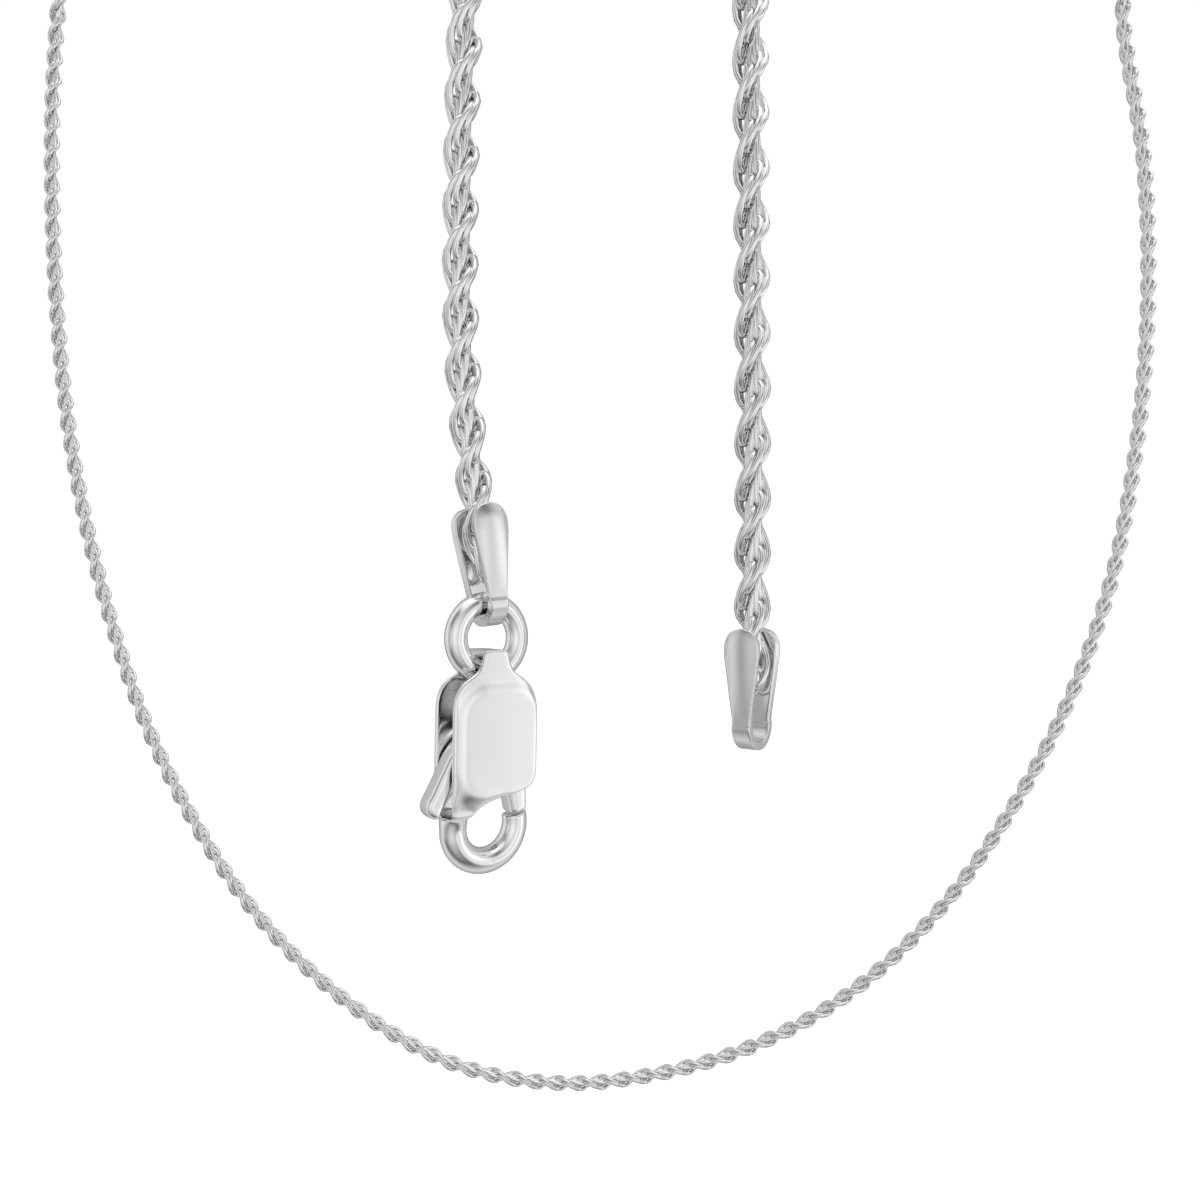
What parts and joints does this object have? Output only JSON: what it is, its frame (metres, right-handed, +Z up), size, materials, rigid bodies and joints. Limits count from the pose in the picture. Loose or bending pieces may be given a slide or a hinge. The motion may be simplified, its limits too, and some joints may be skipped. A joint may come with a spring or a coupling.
{
  "type": "chain necklace",
  "caption": "Twisted rope chain necklace with a lobster clasp on a jump ring and folded end tabs, hung over a neck with the clasp undone.",
  "frame": {"origin": "where the chain lies over the neck: midway between its two sides, midway from front to back, at the height of its highest point", "axes": "+Z up; -Y towards the hanging clasp ends, +Y towards the drape; +X towards the side that the clasp hooks into"},
  "size_m": [0.1274, 0.0656, 0.1311],
  "materials": {
    "chain_silver": "polished silver rope chain",
    "polished_silver": "high polish silver",
    "spring_steel": "drawn wire"
  },
  "bodies": {
    "neck_drape": {"arch_left_1": "chain_silver", "arch_left_2": "chain_silver", "arch_left_3": "chain_silver", "arch_right_1": "chain_silver", "arch_right_2": "chain_silver", "arch_right_3": "chain_silver"},
    "drape_1": {"drape_left_1": "chain_silver", "drape_right_1": "chain_silver"},
    "drape_2": {"drape_left_2": "chain_silver", "drape_right_2": "chain_silver"},
    "drape_3": {"drape_left_3": "chain_silver", "drape_right_3": "chain_silver"},
    "drape_4": {"drape_left_4": "chain_silver", "drape_right_4": "chain_silver"},
    "drape_5": {"drape_left_5": "chain_silver", "drape_right_5": "chain_silver"},
    "drape_6": {"drape_left_6": "chain_silver", "drape_right_6": "chain_silver"},
    "drape_7": {"drape_left_7": "chain_silver", "drape_right_7": "chain_silver"},
    "drape_8": {"drape_left_8": "chain_silver", "drape_right_8": "chain_silver"},
    "drape_9": {"drape_left_9": "chain_silver", "drape_right_9": "chain_silver"},
    "drape_10": {"drape_bottom_left": "chain_silver", "drape_bottom": "chain_silver", "drape_bottom_right": "chain_silver"},
    "clasp_strand_link_1": {"clasp_strand_1": "chain_silver"},
    "clasp_strand_link_2": {"clasp_strand_2": "chain_silver"},
    "clasp_strand_link_3": {"clasp_strand_3": "chain_silver"},
    "clasp_strand_link_4": {"clasp_strand_4": "chain_silver"},
    "clasp_strand_link_5": {"clasp_strand_5": "chain_silver", "clasp_end_tab": "polished_silver"},
    "loop_strand_link_1": {"loop_strand_1": "chain_silver"},
    "loop_strand_link_2": {"loop_strand_2": "chain_silver"},
    "loop_strand_link_3": {"loop_strand_3": "chain_silver"},
    "loop_strand_link_4": {"loop_strand_4": "chain_silver"},
    "loop_strand_link_5": {"loop_strand_5": "chain_silver", "loop_end_tab": "polished_silver"},
    "jump_ring": {"jump_ring": "polished_silver"},
    "clasp": {"clasp_body": "polished_silver", "clasp_pin": "polished_silver", "clasp_spring": "spring_steel"},
    "clasp_lever": {"clasp_lever": "polished_silver"}
  },
  "joints": [
    {"name": "drape_swing_1", "type": "hinge", "parent": "neck_drape", "child": "drape_1", "pos_m": [0, 0.031, -0.00503], "axis": [1, 0, 0], "range_deg": [-4, 18]},
    {"name": "drape_swing_2", "type": "hinge", "parent": "drape_1", "child": "drape_2", "pos_m": [0, 0.031, -0.01786], "axis": [1, 0, 0], "range_deg": [-4, 18]},
    {"name": "drape_swing_3", "type": "hinge", "parent": "drape_2", "child": "drape_3", "pos_m": [0, 0.031, -0.03073], "axis": [1, 0, 0], "range_deg": [-4, 18]},
    {"name": "drape_swing_4", "type": "hinge", "parent": "drape_3", "child": "drape_4", "pos_m": [0, 0.031, -0.0436], "axis": [1, 0, 0], "range_deg": [-4, 18]},
    {"name": "drape_swing_5", "type": "hinge", "parent": "drape_4", "child": "drape_5", "pos_m": [0, 0.031, -0.05646], "axis": [1, 0, 0], "range_deg": [-4, 18]},
    {"name": "drape_swing_6", "type": "hinge", "parent": "drape_5", "child": "drape_6", "pos_m": [0, 0.031, -0.06932], "axis": [1, 0, 0], "range_deg": [-4, 18]},
    {"name": "drape_swing_7", "type": "hinge", "parent": "drape_6", "child": "drape_7", "pos_m": [0, 0.031, -0.08219], "axis": [1, 0, 0], "range_deg": [-4, 18]},
    {"name": "drape_swing_8", "type": "hinge", "parent": "drape_7", "child": "drape_8", "pos_m": [0, 0.031, -0.09506], "axis": [1, 0, 0], "range_deg": [-4, 18]},
    {"name": "drape_swing_9", "type": "hinge", "parent": "drape_8", "child": "drape_9", "pos_m": [0, 0.031, -0.10792], "axis": [1, 0, 0], "range_deg": [-4, 18]},
    {"name": "drape_swing_10", "type": "hinge", "parent": "drape_9", "child": "drape_10", "pos_m": [0, 0.031, -0.12079], "axis": [1, 0, 0], "range_deg": [-4, 18]},
    {"name": "clasp_strand_swing_1", "type": "hinge", "parent": "neck_drape", "child": "clasp_strand_link_1", "pos_m": [-0.00595, -0.031, -0.035], "axis": [1, 0, 0], "range_deg": [-20, 12]},
    {"name": "clasp_strand_sway_2", "type": "hinge", "parent": "clasp_strand_link_1", "child": "clasp_strand_link_2", "pos_m": [-0.00598, -0.03102, -0.04252], "axis": [0, -1, 0], "range_deg": [-20, 6]},
    {"name": "clasp_strand_swing_3", "type": "hinge", "parent": "clasp_strand_link_2", "child": "clasp_strand_link_3", "pos_m": [-0.00622, -0.031, -0.05005], "axis": [1, 0, 0], "range_deg": [-20, 12]},
    {"name": "clasp_strand_sway_4", "type": "hinge", "parent": "clasp_strand_link_3", "child": "clasp_strand_link_4", "pos_m": [-0.00635, -0.031, -0.05758], "axis": [0, -1, 0], "range_deg": [-20, 6]},
    {"name": "clasp_strand_swing_5", "type": "hinge", "parent": "clasp_strand_link_4", "child": "clasp_strand_link_5", "pos_m": [-0.00611, -0.031, -0.06511], "axis": [1, 0, 0], "range_deg": [-20, 12]},
    {"name": "loop_strand_swing_1", "type": "hinge", "parent": "neck_drape", "child": "loop_strand_link_1", "pos_m": [0.00687, -0.031, -0.035], "axis": [1, 0, 0], "range_deg": [-20, 12]},
    {"name": "loop_strand_sway_2", "type": "hinge", "parent": "loop_strand_link_1", "child": "loop_strand_link_2", "pos_m": [0.00682, -0.03103, -0.04364], "axis": [0, -1, 0], "range_deg": [-6, 20]},
    {"name": "loop_strand_swing_3", "type": "hinge", "parent": "loop_strand_link_2", "child": "loop_strand_link_3", "pos_m": [0.00688, -0.031, -0.05228], "axis": [1, 0, 0], "range_deg": [-20, 12]},
    {"name": "loop_strand_sway_4", "type": "hinge", "parent": "loop_strand_link_3", "child": "loop_strand_link_4", "pos_m": [0.00692, -0.031, -0.06092], "axis": [0, -1, 0], "range_deg": [-6, 20]},
    {"name": "loop_strand_swing_5", "type": "hinge", "parent": "loop_strand_link_4", "child": "loop_strand_link_5", "pos_m": [0.00695, -0.031, -0.06956], "axis": [1, 0, 0], "range_deg": [-20, 12]},
    {"name": "ring_swing", "type": "hinge", "parent": "clasp_strand_link_5", "child": "jump_ring", "pos_m": [-0.00514, -0.031, -0.07415], "axis": [0.809, 0.5878, 0], "range_deg": [-35, 35]},
    {"name": "clasp_sway", "type": "hinge", "parent": "jump_ring", "child": "clasp", "pos_m": [-0.00514, -0.031, -0.07572], "axis": [0.5878, -0.809, 0], "range_deg": [-25, 25]},
    {"name": "lever_turn", "type": "hinge", "parent": "clasp", "child": "clasp_lever", "pos_m": [-0.00448, -0.03052, -0.08057], "axis": [-0.5878, 0.809, 0], "range_deg": [0, 25], "stiffness_Nm_per_rad": 0.001, "springref_deg": -20.05, "deforming": ["clasp_spring"]}
  ]
}
